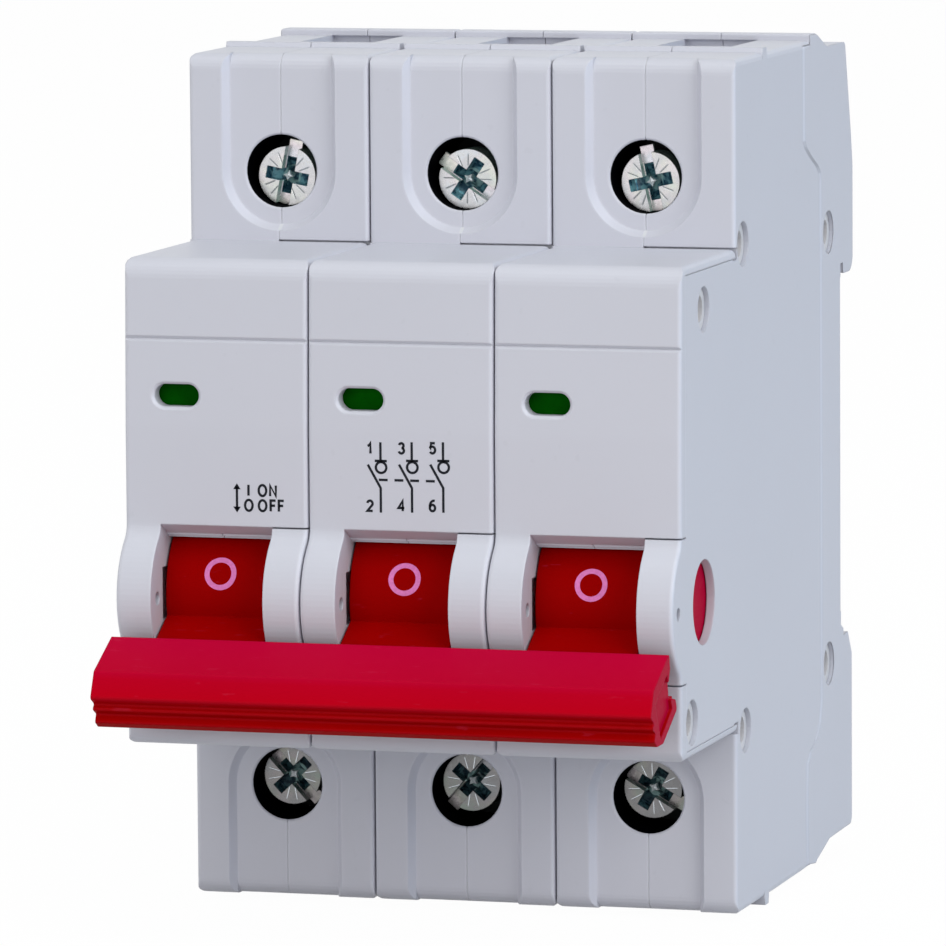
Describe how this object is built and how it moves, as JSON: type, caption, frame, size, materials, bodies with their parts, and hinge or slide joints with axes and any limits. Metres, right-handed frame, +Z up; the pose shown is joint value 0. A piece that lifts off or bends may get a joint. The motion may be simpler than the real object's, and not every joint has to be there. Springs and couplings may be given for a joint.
{
  "type": "three-pole rail-mounted switch disconnector",
  "caption": "Modular switch disconnector for a mounting rail: moulded pole housings side by side, screw terminals top and bottom, and toggles tied by one red handle bar",
  "frame": {"origin": "centre of the face that seats on the mounting rail", "axes": "X across the poles, +Y towards the rail, Z up along the poles' height"},
  "size_m": [0.0532, 0.0763, 0.0814],
  "materials": {
    "grey_plastic": "fine satin moulded plastic",
    "red_plastic": "smooth moulded plastic",
    "green_plastic": "smooth moulded plastic",
    "zinc_steel": "zinc plated",
    "copper": "plain copper strip",
    "rivet_plastic": "off-white plastic"
  },
  "bodies": {
    "housing": {"case_left_1": "grey_plastic", "case_right_1": "grey_plastic", "screw_top_1": "zinc_steel", "screw_bottom_1": "zinc_steel", "clamp_top_1": "zinc_steel", "clamp_bottom_1": "zinc_steel", "contact_top_1": "copper", "contact_bottom_1": "copper", "case_left_2": "grey_plastic", "case_right_2": "grey_plastic", "screw_top_2": "zinc_steel", "screw_bottom_2": "zinc_steel", "clamp_top_2": "zinc_steel", "clamp_bottom_2": "zinc_steel", "contact_top_2": "copper", "contact_bottom_2": "copper", "case_left_3": "grey_plastic", "case_right_3": "grey_plastic", "screw_top_3": "zinc_steel", "screw_bottom_3": "zinc_steel", "clamp_top_3": "zinc_steel", "clamp_bottom_3": "zinc_steel", "contact_top_3": "copper", "contact_bottom_3": "copper", "tie_rivets": "rivet_plastic"},
    "handle": {"toggle_1": "red_plastic", "toggle_2": "red_plastic", "toggle_3": "red_plastic", "handle_bar": "red_plastic"},
    "flag_1_body": {"flag_1": "green_plastic"},
    "flag_2_body": {"flag_2": "green_plastic"},
    "flag_3_body": {"flag_3": "green_plastic"},
    "rail_clip_1_body": {"rail_clip_1": "grey_plastic"},
    "rail_clip_2_body": {"rail_clip_2": "grey_plastic"},
    "rail_clip_3_body": {"rail_clip_3": "grey_plastic"}
  },
  "joints": [
    {"name": "handle_swing", "type": "hinge", "parent": "housing", "child": "handle", "pos_m": [0, -0.05244, -0.00878], "axis": [-1, 0, 0], "range_deg": [0, 57]},
    {"name": "flag_1_slide", "type": "slide", "parent": "housing", "child": "flag_1_body", "axis": [0, 0, 1], "range_m": [0, 0.0034]},
    {"name": "flag_2_slide", "type": "slide", "parent": "housing", "child": "flag_2_body", "axis": [0, 0, 1], "range_m": [0, 0.0034]},
    {"name": "flag_3_slide", "type": "slide", "parent": "housing", "child": "flag_3_body", "axis": [0, 0, 1], "range_m": [0, 0.0034]},
    {"name": "rail_clip_1_slide", "type": "slide", "parent": "housing", "child": "rail_clip_1_body", "axis": [0, 0, 1], "range_m": [0, 0.0025]},
    {"name": "rail_clip_2_slide", "type": "slide", "parent": "housing", "child": "rail_clip_2_body", "axis": [0, 0, 1], "range_m": [0, 0.0025]},
    {"name": "rail_clip_3_slide", "type": "slide", "parent": "housing", "child": "rail_clip_3_body", "axis": [0, 0, 1], "range_m": [0, 0.0025]}
  ],
  "couplings": [
    {"joint": "flag_1_slide", "follows": "handle_swing", "m_per_rad": 0.003417},
    {"joint": "flag_2_slide", "follows": "handle_swing", "m_per_rad": 0.003417},
    {"joint": "flag_3_slide", "follows": "handle_swing", "m_per_rad": 0.003417}
  ]
}
